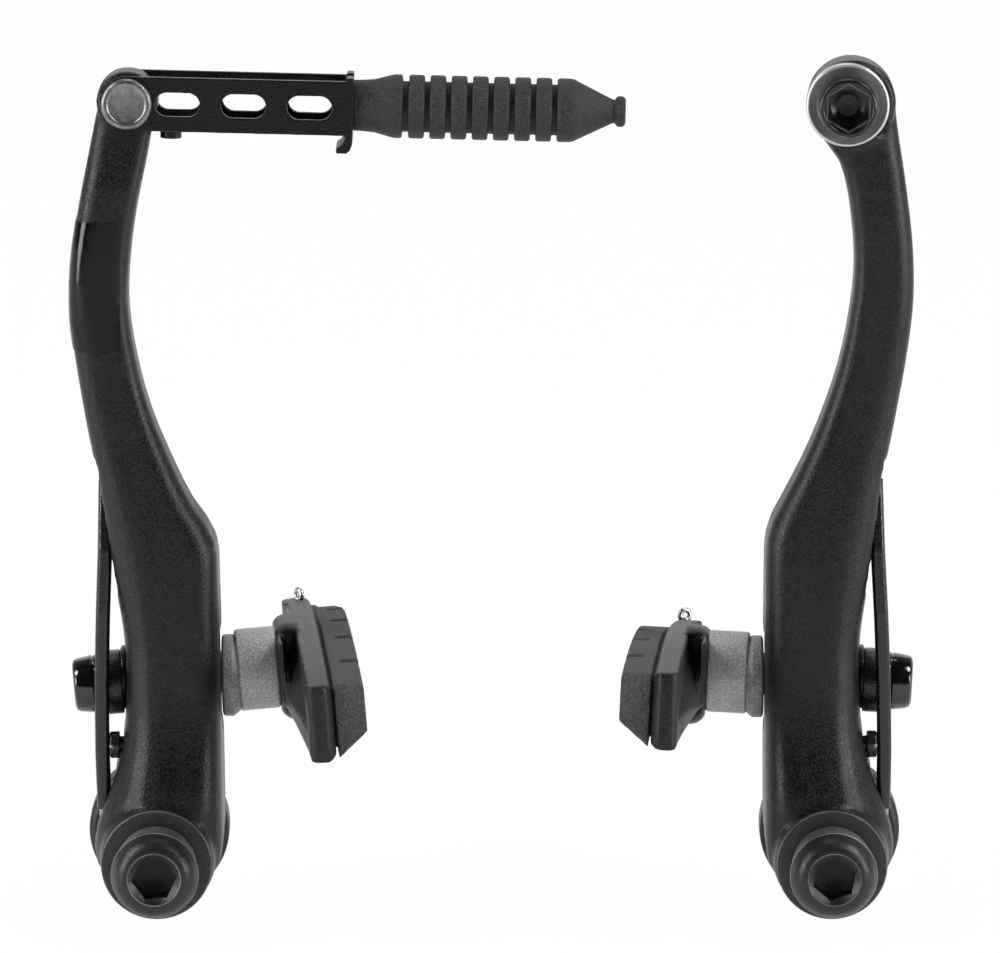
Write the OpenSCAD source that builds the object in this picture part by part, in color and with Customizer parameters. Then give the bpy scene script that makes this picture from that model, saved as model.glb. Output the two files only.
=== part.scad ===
// A pair of linear-pull rim brake arms for one wheel, with link, boot and brake shoes.
// The frame: both pivot axes run along Y and the origin lies midway between them.
// X points to the right arm, Y away from the viewer to the fork, Z up along the arms.
// Each side is drawn in its own side frame: X outward from its pivot axis, Y and Z as above.

/* [Layout] */
// Distance between the two pivot axes
pivot_spacing = 94.8; // [80:0.1:105]
// Pivot axis to cable anchor, along the arm
arm_length = 106.6; // [104:0.1:112]
// Outward offset of the anchor and of the link rivet from the pivot axis
anchor_offset = 1.7; // [1:0.1:2.5]
// Outward lean of the left arm at rest, in degrees
left_lean = 1.1; // [0:0.1:2]

/* [Pivot] */
// Bore of the pivot bush, for a stud of 8 mm
bush_bore = 8.2; // [8.1:0.05:8.4]
// Outer diameter of the pivot bush
bush_d = 10.3; // [10:0.1:11]
// Bush end in front of the arm's middle plane
bush_front = 18.8; // [16:0.1:20]
// Bush end behind the arm's middle plane
bush_rear = 18; // [17.8:0.1:20]
// Running clearance between bush and arm, on the radius
bush_play = 0.05; // [0.03:0.01:0.08]
// Diameter of the flat ring in front of the arm
ring_d = 15.6; // [14:0.1:15.8]
// Thickness of the flat ring
ring_t = 1.2; // [0.8:0.1:1.6]
// Diameter of the fixing bolt's head
bolt_head_d = 12.3; // [11:0.1:13]
// Height of the fixing bolt's head
bolt_head_h = 3.5; // [3:0.1:4.2]
// Core diameter of the fixing bolt
bolt_d = 5.8; // [5.6:0.05:6]
// Length of the fixing bolt under its head
bolt_length = 21; // [18:0.5:24]
// Width across flats of the hexagon sockets
hex_af = 5; // [4:0.1:5.2]

/* [Arm] */
// Distance from the arm's middle plane to its front face at the boss
boss_front = 11.7; // [11:0.1:13]
// Diameter of the boss behind the flat ring
boss_d = 15.8; // [15.6:0.1:16.4]
// Distance from the middle plane to the rear end of the hub
hub_rear = 9.2; // [8.8:0.1:9.4]
// Diameter of the hub inside the spring
hub_d = 12.6; // [12.2:0.1:12.8]
// Diameter of the well that the spring coil lies in
well_d = 17.6; // [17.2:0.1:18]
// Front wall of the spring well, behind the middle plane
well_front = 1.4; // [1:0.1:1.6]
// Diameter of the left arm's head between the link plates
link_head_d = 8.6; // [8:0.1:9]
// Thickness of the left arm's head
link_head_t = 6.2; // [6:0.1:6.6]
// Diameter of the right arm's head at the cable anchor
anchor_head_d = 12.2; // [11.8:0.1:13]
// Outward shift of the right arm's round head from the anchor's axis
head_shift = 0.7; // [0:0.1:0.9]
// Front face of the right arm's head, in front of the middle plane
anchor_front = 5; // [4.5:0.1:5.5]
// Rear face of the right arm's head, behind the middle plane
anchor_rear = 3.6; // [3:0.1:4.5]
// Diameter of the brake cable
cable_d = 1.6; // [1.5:0.1:1.8]
// Depth of the cable groove's axis under the head's face
groove_depth = 0.75; // [0.72:0.01:0.8]
// Distance of the cable groove under the cable bolt's axis
groove_drop = 3.7; // [3.6:0.1:4]

/* [Shoe] */
// Height of the shoe's stud above the pivot axis
stud_z = 23.6; // [22:0.1:27]
// Stud axis behind the arm's middle plane
stud_y = 4; // [3.9:0.1:4.2]
// Diameter of the shoe's stud
stud_d = 6; // [5.8:0.1:6]
// Width of the slot in the arm
slot_w = 7.2; // [7.1:0.1:7.4]
// Travel of the stud up and down from its middle position
slot_travel = 4; // [3:0.1:4.2]
// Upward tilt of the left shoe's stud towards the rim, in degrees
left_tilt = 3.6; // [2:0.1:4]
// Upward tilt of the right shoe's stud towards the rim, in degrees
right_tilt = 2.5; // [2:0.1:4]
// Inward turn of the front of both shoes, in degrees
toe_in = 3.8; // [1:0.1:4]
// Upward turn of the front of the left shoe, in degrees
left_pitch = 0.5; // [0:0.5:7]
// Upward turn of the front of the right shoe, in degrees
right_pitch = 5; // [0:0.5:7]
// Diameter of the inner washers
inner_washer_d = 11.6; // [11:0.1:12]
// Rim thickness of the inner dome washer
inner_dome_t = 2.1; // [1.8:0.1:2.4]
// Rim length of the inner cup washer
inner_cup_t = 5.8; // [5:0.1:6.4]
// Diameter of the outer washers
outer_washer_d = 9.1; // [8.6:0.1:9.2]
// Distance from the swivel centre to the outer end of the outer cup washer
outer_cup_end = 10; // [9.8:0.1:10.2]
// Diameter of the nut
nut_d = 8.2; // [7.6:0.1:8.4]
// Length of the nut
nut_t = 4.4; // [4:0.1:5]
// Length of the shoe
shoe_length = 70; // [64:0.5:74]
// Height of the shoe
shoe_height = 10.8; // [10:0.1:11.4]
// Height of the shoe's middle line above its stud
pad_rise = 0; // [0:0.1:0.8]
// Radius of the wheel's braking band, which the shoe follows
band_r = 280; // [250:1:320]
// Thickness of the holder's channel behind the rubber
channel_t = 3.4; // [3:0.1:4]
// Thickness of the holder's boss under its channel
boss_t = 2.9; // [2.4:0.1:3.2]
// How far the rubber stands out of the holder
rubber_out = 4.5; // [3.5:0.1:5]
// Depth of the grooves across the rubber
groove_t = 2.6; // [1.5:0.1:2.8]
// Pitch of the grooves across the rubber
groove_pitch = 14.2; // [12:0.1:15]
// Width of the grooves across the rubber
groove_w = 1.9; // [1:0.1:2.4]

/* [Spring] */
// Diameter of the spring wire
wire_d = 1.7; // [1.5:0.1:1.8]
// Mean diameter of the spring coil
coil_d = 15.1; // [15:0.05:15.2]
// Number of turns of the coil
coil_turns = 3; // [2:1:3]
// Width of the plastic sleeve on the spring's leg, seen from the front
sleeve_w = 2.05; // [1.9:0.05:2.2]
// Depth of the plastic sleeve, front to back
sleeve_t = 2.3; // [2:0.1:2.4]
// Diameter of the plastic spring housing
housing_d = 20; // [19.4:0.1:20.6]
// Thickness of the plastic spring housing
housing_t = 7; // [6:0.1:7.1]
// Thickness of the steel stop plate behind the housing
stop_plate_t = 1.2; // [1:0.1:1.4]
// Outward shift of the housing's round rim from the pivot axis
housing_shift = 0.5; // [0:0.1:0.6]
// Diameter of the pin that goes into the frame's spring hole
spring_pin_d = 2.2; // [2:0.1:2.4]
// Length of the spring pin behind the stop plate
spring_pin_length = 4.5; // [4:0.1:5]
// Radius from the pivot axis to the spring pin
spring_pin_r = 7.9; // [7.6:0.1:8.1]

/* [Link] */
// Length of the link from its rivet to the outside of its end plate
link_length = 31.5; // [30:0.1:34]
// Height of the link
link_height = 7.6; // [7.4:0.1:8.4]
// Thickness of the link's sheet steel
link_sheet = 1; // [0.9:0.05:1.2]
// Play between the arm's head and each link plate
link_play = 0.2; // [0.15:0.05:0.3]
// Downward tilt of the link at rest, in degrees
link_tilt = 1.4; // [1:0.1:2]
// Length of the slots in the link
slot_length = 6.25; // [5.5:0.05:6.6]
// Height of the slots in the link
slot_height = 3.35; // [3:0.05:3.8]
// Pitch of the slots in the link
slot_pitch = 9.2; // [8.8:0.1:9.6]
// Diameter of the rivet's head
rivet_d = 7.1; // [6.6:0.1:7.4]
// Number of rings on the rubber boot
boot_rings = 7; // [5:1:8]
// Pitch of the boot's rings
ring_pitch = 2.96; // [2.8:0.02:3.1]

/* [Hidden] */
$fn = 64;
EPS = 0.01;
FAR = 60;

// Flat faces of the arm that the shoe's dome washers lie on, measured from the pivot axis
arm_inner = 9.3;
arm_outer = 4.1;
// Centre of the spherical seats of both pairs of washers
swivel_x = -2.6;
inner_seat_r = 10.5;
outer_seat_r = 8.7;
inner_dome_bore = stud_d + 2.2;
outer_dome_bore = stud_d + 1.5;
stud_play = 0.06;
seat_play = 0.05;
flat_play = 1;

// Positions along the stud, measured inward from the swivel centre
cup_start = arm_inner + inner_dome_t + swivel_x;
cup_end = cup_start + inner_cup_t;
channel_start = cup_end + boss_t;
channel_end = channel_start + channel_t;
rubber_end = channel_end + rubber_out;
rubber_start = channel_end - 2.2;

// The split pin that crosses the holder and the rubber near the rear end
pin_x = 1.6 - channel_end;
pin_y = shoe_length / 2 - 5;
pin_d = 1.4;
// Turn of each pin's loop about the pin, in degrees
left_pin_turn = 60;
right_pin_turn = 25;
// Play between the rubber and its channel
rubber_play = 0.1;
// Round boss of the holder, and how far its middle lies under the stud's axis
holder_boss_d = 14.1;
holder_boss_drop = 0.7;
// Slopes of the ramp in the holder's pocket, in degrees
ramp_side = 63;
ramp_front = 6.3;

// The sleeve's middle line in the side frame
sleeve_y = -2.5;
sleeve_line = [[coil_d / 2, sleeve_y, 6], [7.65, sleeve_y, 14], [7.5, sleeve_y, 24],
    [7.05, sleeve_y, 34], [6.55, sleeve_y + 0.5, 43], [6.2, sleeve_y + 1.6, 53]];
screw_z = 15.2;
housing_front = hub_rear + 0.2;
head_clear = link_head_t / 2 + link_play;
link_outer = head_clear + link_sheet;
shank_d = 4;
// Thickness of the cable washer under the cable bolt's head
anchor_dish = 1;
// Neck of the boot in the link's end plate, and the bore for the cable's guide tube
neck_d = 5.9;
guide_bore = 5;
guide_seat = 4;
bellows_bore = 5.8;

// The arm's outlines: height and distance from the pivot axis, outward positive.
// The upper heights are counted down from the cable anchor.
function top(d) = arm_length - d;
lower_inner = [[-7, -3.6], [-5, -6.2], [-2, -8.5], [2, -9.15], [10, -9.3], [24, -9.35], [38, -9.4]];
lower_outer = [[-7, 3.6], [-5, 6.2], [-2, 8.6], [2, 9.1], [6, 8.1], [10, 6.5], [14, 5.3],
    [19, 4.3], [25, 4.0], [31, 4.2], [38, 5.2], [46, 6.4]];
left_inner = concat(lower_inner, [[43, -9.25], [46, -8.1], [49, -6.1], [52, -4.6], [57, -2.5],
    [62, -0.6], [top(37.5), 1.2], [top(29), 2.3], [top(22), 1.9], [top(15), 0.8], [top(8), -0.8],
    [top(3), -1.8]]);
left_outer = concat(lower_outer, [[53.5, 7.35], [61.5, 8.7], [top(36), 10.0], [top(30), 10.6],
    [top(22), 10.2], [top(14), 8.8], [top(8), 7.5], [top(3), 6.4]]);
right_inner = concat(lower_inner, [[43, -9.25], [46, -8.8], [49.5, -7.1], [55.5, -4.1], [61, -1.8],
    [top(38.5), 0.6], [top(31), 2.2], [top(23), 3.0], [top(14), 2.2], [top(9), 1], [top(7), -0.1],
    [top(5.4), -1.5], [top(4), -3], [top(2), -3.4], [top(0), -3.5]]);
right_outer = concat(lower_outer, [[53.5, 7.3], [61.5, 8.8], [top(36), 10.4], [top(28), 11.3],
    [top(20), 11.1], [top(11), 10.0], [top(4), 8.9], [top(0), 8.45]]);
front_face = [[-7, 8.5], [-2, 9.6], [3, 10.9], [8, 11.1], [13, 9.5], [19, 8.1], [26, 7.5],
    [40, 6.7], [50, 5.9], [60, 5.1], [top(35), 4.6], [top(14), 4.3], [top(3), 4.1]];
rear_face = [[-7, 8], [0, 9.2], [12, 9.4], [20, 9.6], [32, 9.5], [42, 7.6], [52, 5.8],
    [62, 4.9], [top(35), 4.5], [top(14), 4.2], [top(5), 3.7], [top(0), 3.4]];
left_front_top = [[top(12), 4.3], [top(5), 3.2], [top(0), link_head_t / 2]];
loft_rings = 42;
corner_steps = 5;

// Smooth value of a table of height and distance at height z
function segment(t, z, i = 0) = (i >= len(t) - 2 || z <= t[i + 1][0]) ? i : segment(t, z, i + 1);
function slope(t, i) = let (a = max(i - 1, 0), b = min(i + 1, len(t) - 1))
    (t[b][1] - t[a][1]) / (t[b][0] - t[a][0]);
function smooth(t, z) = let (i = segment(t, z), h = t[i + 1][0] - t[i][0],
    u = (z - t[i][0]) / h, u2 = u * u, u3 = u2 * u)
    (2 * u3 - 3 * u2 + 1) * t[i][1] + (u3 - 2 * u2 + u) * slope(t, i) * h
    + (3 * u2 - 2 * u3) * t[i + 1][1] + (u3 - u2) * slope(t, i + 1) * h;

// Quarter arc of an oval corner, from angle a, about the corner point p
function corner(p, sx, sy, rx, ry, a, z) = [for (k = [0 : corner_steps])
    let (w = a + 90 * k / corner_steps)
    [p[0] - sx * rx + rx * cos(w), p[1] - sy * ry + ry * sin(w), z]];

// Section of an arm at height z, with a wide bevel on its front outer edge
function section(z, inner, outer, thin) = let (
    x0 = smooth(inner, z), x1 = smooth(outer, z), w = x1 - x0,
    y0 = -min(smooth(front_face, z), thin), y1 = min(smooth(rear_face, z), thin),
    d = y1 - y0, flare = max(0, 1 - abs(z - 9) / 14))
    concat(corner([x1, y0], 1, -1, w * (0.34 + 0.12 * flare), d * (0.3 + 0.08 * flare), -90, z),
        corner([x1, y1], 1, 1, w * 0.2, d * 0.2, 0, z),
        corner([x0, y1], -1, 1, w * 0.2, d * 0.2, 90, z),
        corner([x0, y0], -1, -1, w * 0.24, d * 0.26, 180, z));

// Closed skin over a list of rings that have the same number of points
module skin(rings) {
    n = len(rings[0]);
    m = len(rings);
    sides = [for (i = [0 : m - 2], j = [0 : n - 1], k = [0, 1])
        let (a = i * n + j, b = i * n + (j + 1) % n, c = a + n, d = b + n)
        k == 0 ? [a, c, b] : [b, c, d]];
    caps = [[for (j = [0 : n - 1]) j], [for (j = [n - 1 : -1 : 0]) (m - 1) * n + j]];
    polyhedron(points = [for (r = rings, p = r) p], faces = concat(sides, caps));
}

function unit(v) = v / norm(v);

// Tube of a flat section along a path; the section's first axis is kept square to Y
module sweep_along(path, outline) {
    m = len(path);
    skin([for (i = [0 : m - 1])
        let (t = unit(path[min(i + 1, m - 1)] - path[max(i - 1, 0)]),
            u = unit(cross([0, 1, 0], t)), v = cross(t, u))
        [for (p = outline) path[i] + p[0] * u + p[1] * v]]);
}

function oval(rx, ry, n) = [for (k = [0 : n - 1]) [rx * cos(360 * k / n), ry * sin(360 * k / n)]];
function rounded(w, h, r, n) = [for (q = [0 : 3], k = [0 : n]) let (a = 90 * q + 90 * k / n,
    sx = (q == 0 || q == 3) ? 1 : -1, sy = q < 2 ? 1 : -1)
    [sx * (w / 2 - r) + r * cos(a), sy * (h / 2 - r) + r * sin(a)]];

// Placing: side is 1 for the right arm and -1 for the left
module on_side(side) {
    translate([side * pivot_spacing / 2, 0, 0]) mirror([side < 0 ? 1 : 0, 0, 0]) children();
}
module on_arm(side) {
    on_side(side) rotate([0, side < 0 ? left_lean : 0, 0]) children();
}
module on_stud(side) {
    on_arm(side) translate([swivel_x, stud_y, stud_z]) children();
}
// Shoe frame: origin in the swivel centre, X outward along the stud
module on_shoe(side) {
    on_stud(side) rotate([0, side < 0 ? left_tilt : right_tilt, 0]) rotate([0, 0, -toe_in])
        rotate([side < 0 ? -left_pitch : -right_pitch, 0, 0]) children();
}
module on_anchor(side) {
    on_arm(side) translate([anchor_offset, 0, arm_length]) children();
}
// Link frame: origin on the rivet's axis, X along the link to the right
module on_link() {
    lean_x = anchor_offset * cos(left_lean) + arm_length * sin(left_lean);
    lean_z = arm_length * cos(left_lean) - anchor_offset * sin(left_lean);
    translate([-pivot_spacing / 2 - lean_x, 0, lean_z]) rotate([0, link_tilt, 0]) children();
}

// Cylinder along Y from y0 to y1
module rod_y(d, y0, y1) {
    translate([0, y1, 0]) rotate([90, 0, 0]) cylinder(d = d, h = y1 - y0);
}
// Cylinder along X from x0 to x1
module rod_x(d, x0, x1) {
    translate([x0, 0, 0]) rotate([0, 90, 0]) cylinder(d = d, h = x1 - x0);
}
// Solid of revolution about Y; the profile's points are radius and y
module turn_y(profile) {
    rotate([90, 0, 0]) mirror([0, 0, 1]) rotate_extrude() polygon(profile);
}
// Solid of revolution about X; the profile's points are radius and x
module turn_x(profile) {
    rotate([0, 90, 0]) rotate_extrude() polygon(profile);
}
// Hexagon socket along Y, turned about Y from a corner pointing outward
module hex_socket_y(af, y0, y1, turn) {
    translate([0, y1, 0]) rotate([0, turn, 0]) rotate([90, 0, 0])
        cylinder(d = af / cos(30), h = y1 - y0, $fn = 6);
}

module arm_hub() {
    r = boss_d / 2;
    turn_y([[0, -boss_front], [r - 0.5, -boss_front], [r, -boss_front + 0.5],
        [r + 0.3, -boss_front + 4], [r + 0.3, well_front], [hub_d / 2, well_front + 0.6],
        [hub_d / 2, hub_rear], [0, hub_rear]]);
}

module arm_loft(side) {
    z0 = -6.6;
    z1 = side < 0 ? top(1.5) : top(0.3);
    inner = side < 0 ? left_inner : right_inner;
    outer = side < 0 ? left_outer : right_outer;
    skin([for (i = [0 : loft_rings]) let (z = z0 + (z1 - z0) * i / loft_rings,
        thin = (side < 0 && z > top(12)) ? smooth(left_front_top, z) : FAR)
        section(z, inner, outer, thin)]);
}

module anchor_head() {
    r = anchor_head_d / 2;
    turn_y([[0, -anchor_front], [r - 0.4, -anchor_front], [r, -anchor_front + 0.5],
        [r, anchor_rear - 1.8], [r - 1.6, anchor_rear], [0, anchor_rear]]);
}

module spring_well() {
    rod_well = well_d / 2;
    turn_y([[hub_d / 2, well_front], [rod_well, well_front], [rod_well, FAR / 4],
        [hub_d / 2, FAR / 4]]);
    // Room for the wire and the sleeve on the outer side
    translate([hub_d / 2 - 0.6, sleeve_y - sleeve_t / 2 - 0.2, -rod_well])
        cube([FAR, FAR, rod_well + 12]);
    rod_y(housing_d + 2 * housing_shift + 0.6, hub_rear, FAR);
}

module stud_slot() {
    for (z = [-slot_travel, slot_travel]) translate([0, 0, z]) rod_x(slot_w, -FAR, FAR);
    translate([-FAR, -slot_w / 2, -slot_travel]) cube([2 * FAR, slot_w, 2 * slot_travel]);
}

module arm(side) {
    color("#1c1c1e")
    difference() {
        union() {
            arm_loft(side);
            arm_hub();
            translate([anchor_offset, 0, arm_length]) {
                if (side < 0) rod_y(link_head_d, -link_head_t / 2, link_head_t / 2);
                else translate([head_shift, 0, 0]) anchor_head();
            }
        }
        rod_y(bush_d + 2 * bush_play, -FAR, FAR);
        spring_well();
        translate([0, stud_y, stud_z]) stud_slot();
        // Machined flats under the dome washers, with room for the tilted cup washers
        flat_r = outer_washer_d / 2 + flat_play;
        translate([arm_outer, stud_y - flat_r, stud_z - slot_travel - flat_r])
            cube([FAR, FAR, 2 * (slot_travel + flat_r)]);
        translate([-arm_inner - FAR, -FAR, -FAR / 4]) cube([FAR, 2 * FAR, FAR]);
        // Groove that the sleeve's end bears in
        translate([sleeve_line[5][0] - sleeve_w / 2 - 0.5, sleeve_y - 0.7, 37])
            cube([FAR, 4.6, 19]);
        translate([0, sleeve_y, screw_z]) {
            rod_x(2.5, 0, FAR);
            rod_x(4.4, sleeve_line[1][0] - sleeve_w / 2 - 1.7, FAR);
        }
        translate([anchor_offset, 0, arm_length]) {
            if (side < 0) rod_y(shank_d + 2 * bush_play, -FAR, FAR);
            else {
                rod_y(5.2, -FAR, anchor_rear - 1.5);
                translate([0, -anchor_front + groove_depth, -groove_drop])
                    rod_x(cable_d, -FAR / 3, FAR / 3);
                translate([-FAR / 3, -anchor_front - 1, -groove_drop - cable_d / 2])
                    cube([2 * FAR / 3, 1 + groove_depth, cable_d]);
            }
        }
    }
}

module pivot_bush() {
    color("#9a9a98")
    difference() {
        turn_y([[0, -bush_front], [bush_d / 2 - 0.3, -bush_front], [bush_d / 2, -bush_front + 0.3],
            [bush_d / 2, bush_rear], [0, bush_rear]]);
        rod_y(bush_bore, -FAR, FAR);
    }
}

module mount_bolt() {
    r = bolt_head_d / 2;
    y = -bush_front;
    h = bolt_head_h;
    color("#2a2a2c")
    translate([0, y, 0]) difference() {
        turn_y([[0, -h], [3.9, -h], [5.0, -h + 0.5], [r - 0.35, -h + 1.7], [r, -h + 2.5], [r, -0.3],
            [r - 0.3, 0], [bolt_d / 2, 0], [bolt_d / 2, bolt_length - 0.6],
            [bolt_d / 2 - 0.6, bolt_length], [0, bolt_length]]);
        hex_socket_y(hex_af, -FAR, -0.3, 6);
        turn_y([[0, -h - EPS], [hex_af / 2 + 0.75, -h - EPS], [hex_af / 2 + 0.05, -h + 0.7],
            [0, -h + 0.7]]);
    }
}

module dust_ring() {
    color("#39393b")
    difference() {
        turn_y([[0, -boss_front - ring_t], [ring_d / 2 - 0.25, -boss_front - ring_t],
            [ring_d / 2, -boss_front - ring_t + 0.25], [ring_d / 2, -boss_front], [0, -boss_front]]);
        rod_y(bush_d + 2 * bush_play, -FAR, FAR);
    }
}

// Coil round the hub, then the leg that steps forward into the sleeve
module return_spring() {
    n = 20;
    y_end = hub_rear - wire_d / 2 - 0.1;
    y_start = well_front + wire_d / 2 + 0.15;
    coil = [for (i = [0 : coil_turns * n]) let (a = -360 * i / n)
        [coil_d / 2 * cos(a), y_start + (y_end - y_start) * i / (coil_turns * n), coil_d / 2 * sin(a)]];
    x = coil_d / 2;
    leg = [[x, sleeve_y, 9], [x, sleeve_y, 5.8], [x, sleeve_y + 1, 4.4],
        [x, y_start - 1, 2.6], [x, y_start - 0.2, 1.2]];
    color("#8c8c8c")
    sweep_along(concat(leg, coil), oval(wire_d / 2, wire_d / 2, 8));
}

module spring_sleeve() {
    color("#161617")
    difference() {
        sweep_along(sleeve_line, rounded(sleeve_w, sleeve_t, 0.7, 3));
        translate([coil_d / 2, sleeve_y, 5]) cylinder(d = wire_d + 0.06, h = 4.1);
    }
}

module spring_housing() {
    r = housing_d / 2;
    color("#1a1a1b")
    translate([0, housing_front, 0]) difference() {
        translate([housing_shift, 0, 0]) turn_y([[0, 0], [r - 0.8, 0], [r, 0.8], [r, housing_t - 0.5],
            [r - 0.5, housing_t], [0, housing_t]]);
        rod_y(bush_d + 2 * bush_play, -FAR, FAR);
    }
}

module stop_plate() {
    color("#77777a")
    translate([0, housing_front + housing_t, 0]) difference() {
        union() {
            translate([housing_shift, 0, 0]) rod_y(housing_d - 1.4, 0, stop_plate_t);
            translate([0, 0, spring_pin_r]) rod_y(spring_pin_d, 0, stop_plate_t + spring_pin_length);
        }
        rod_y(bush_d + 2 * bush_play, -FAR, FAR);
    }
}

module tension_screw() {
    x0 = sleeve_line[1][0] - sleeve_w / 2 - 0.05;
    color("#101011")
    translate([0, sleeve_y, screw_z]) difference() {
        turn_x([[0, 1.4], [1.2, 1.4], [1.2, x0 - 1.4], [1.9, x0 - 1.4], [1.9, x0 - 0.2], [1.7, x0],
            [0, x0]]);
        translate([x0 - 0.5, -FAR / 2, -0.25]) cube([1, FAR, 0.5]);
    }
}

// Inner dome washer: flat on the arm, spherical towards the rim
module inner_dome_washer() {
    color("#4a4a4c")
    translate([-swivel_x, 0, 0]) difference() {
        intersection() {
            rod_x(inner_washer_d, -arm_inner - 6, -arm_inner);
            translate([swivel_x, 0, 0]) sphere(r = inner_seat_r);
            turn_x([[0, -arm_inner], [inner_washer_d / 2, -arm_inner],
                [inner_washer_d / 2, -arm_inner - inner_dome_t + 0.5],
                [inner_washer_d / 2 - 1.4, -arm_inner - inner_dome_t - 1], [0, -arm_inner - 5]]);
        }
        rod_x(inner_dome_bore, -FAR, FAR);
    }
}

module inner_cup_washer() {
    color("#77777a")
    difference() {
        turn_x([[0, -cup_end], [inner_washer_d / 2 - 0.25, -cup_end], [inner_washer_d / 2, -cup_end + 0.25],
            [inner_washer_d / 2, -cup_start - 0.3], [inner_washer_d / 2 - 0.3, -cup_start],
            [0, -cup_start]]);
        sphere(r = inner_seat_r + seat_play);
        rod_x(stud_d + 2 * stud_play, -FAR, FAR);
    }
}

module outer_dome_washer() {
    r = outer_washer_d / 2;
    bore = outer_dome_bore / 2;
    x0 = arm_outer - swivel_x;
    steps = 6;
    dome = [for (i = [0 : steps]) let (t = r + (bore - r) * i / steps)
        [t, sqrt(outer_seat_r * outer_seat_r - t * t)]];
    color("#141415")
    turn_x(concat([[bore, x0], [r, x0]], dome));
}

module outer_cup_washer() {
    color("#141415")
    difference() {
        turn_x([[0, 7.4], [outer_washer_d / 2 - 0.2, 7.4], [outer_washer_d / 2, 7.6],
            [outer_washer_d / 2, outer_cup_end - 0.3], [outer_washer_d / 2 - 0.3, outer_cup_end],
            [0, outer_cup_end]]);
        sphere(r = outer_seat_r + seat_play);
        rod_x(stud_d + 2 * stud_play, -FAR, FAR);
    }
}

module shoe_nut() {
    r = nut_d / 2;
    x0 = outer_cup_end;
    color("#101011")
    difference() {
        turn_x([[0, x0], [r - 0.2, x0], [r, x0 + 0.3], [r - 0.35, x0 + nut_t - 0.6],
            [r - 0.95, x0 + nut_t], [0, x0 + nut_t]]);
        rod_x(stud_d + 2 * stud_play, -FAR, x0 + 1.4);
        translate([x0 + 1.2, 0, 0]) rotate([0, 90, 0]) cylinder(d = hex_af / cos(30), h = FAR, $fn = 6);
    }
}

module pad_stud() {
    x1 = outer_cup_end + 1.2;
    color("#55555a")
    turn_x([[0, -channel_start], [stud_d / 2, -channel_start], [stud_d / 2, x1 - 0.5],
        [stud_d / 2 - 0.5, x1], [0, x1]]);
}

// Part of a band round the wheel's axle; the profile's points are x and height above the stud
module band(profile, length) {
    angle = length / band_r * 180 / PI;
    translate([0, 0, pad_rise - band_r]) rotate([0, -90, 0]) rotate([0, 0, -angle / 2])
        rotate_extrude(angle = angle, $fn = 360)
            polygon([for (p = profile) [band_r + p[1], -p[0]]]);
}

module holder_plan() {
    e = shoe_length / 2;
    polygon([[-channel_end, -e + 1.2], [-channel_end + 1, -e], [-channel_start - 0.6, -e],
        [-channel_start + 0.2, -e + 0.8], [-channel_start + 0.4, -e + 5], [-cup_end - 0.6, -9.5],
        [-cup_end, -7.5], [-cup_end, 11], [-cup_end - 0.8, 12.8], [-channel_start + 0.2, 13.8],
        [-channel_start + 0.3, e - 10], [-channel_start + 0.8, e - 8], [-channel_start + 0.8, e - 2],
        [-channel_start + 0.2, e - 0.6], [-channel_start - 0.8, e], [-channel_end + 1, e],
        [-channel_end, e - 1.2]]);
}

// Half space over the ramp in the holder's pocket, which falls to the boss's face and to the front
module over_ramp() {
    translate([-cup_end - 0.9, -3, 0.1]) rotate([0, ramp_side, 0]) rotate([ramp_front, 0, 0])
        translate([-FAR, -FAR, 0]) cube([2 * FAR, 2 * FAR, FAR]);
}

// Round boss that the cup washer bears on, a little lower than the stud
module holder_boss() {
    r = holder_boss_d / 2;
    translate([0, 0, -holder_boss_drop])
        turn_x([[0, -channel_start - 0.4], [r, -channel_start - 0.4], [r, -cup_end - 1.6],
            [r - 0.5, -cup_end - 0.7], [r - 1.3, -cup_end], [0, -cup_end]]);
}

module pad_holder() {
    h = shoe_height / 2;
    e = shoe_length / 2;
    color("#38383a")
    difference() {
        union() {
            intersection() {
                band([[-cup_end, h - 0.6], [-cup_end - 1.1, h], [-channel_end + 0.8, h],
                    [-channel_end, h - 0.6], [-channel_end, -h + 0.6], [-channel_end + 0.8, -h],
                    [-channel_start, -h], [-cup_end, -h + 1.2]], shoe_length + 1);
                translate([0, 0, -FAR / 2]) linear_extrude(FAR) holder_plan();
            }
            holder_boss();
        }
        // Channel for the rubber
        band([[-channel_end - 1, h - 1.1], [-rubber_start, h - 1.1], [-rubber_start, -h + 1.1],
            [-channel_end - 1, -h + 1.1]], shoe_length - 5);
        // Open pocket in front of the boss
        intersection() {
            translate([-channel_start + 0.1, -FAR - 3, -FAR / 2])
                cube([channel_start - cup_end - 0.9, FAR, FAR]);
            over_ramp();
        }
        // Arched pockets in the back, behind the boss
        for (k = [0, 1]) translate([-channel_start - 0.4, 17.5 + 8 * k, pad_rise - 1.2]) {
            rod_x(5.2 - k, 0, FAR / 4);
            translate([0, -2.6 + k / 2, -3]) cube([FAR / 4, 5.2 - k, 3]);
        }
        rod_x(stud_d + 0.02, -channel_start - EPS, FAR);
        translate([pin_x, pin_y, -FAR / 2]) cylinder(d = pin_d + 0.1, h = FAR);
    }
}

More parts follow.
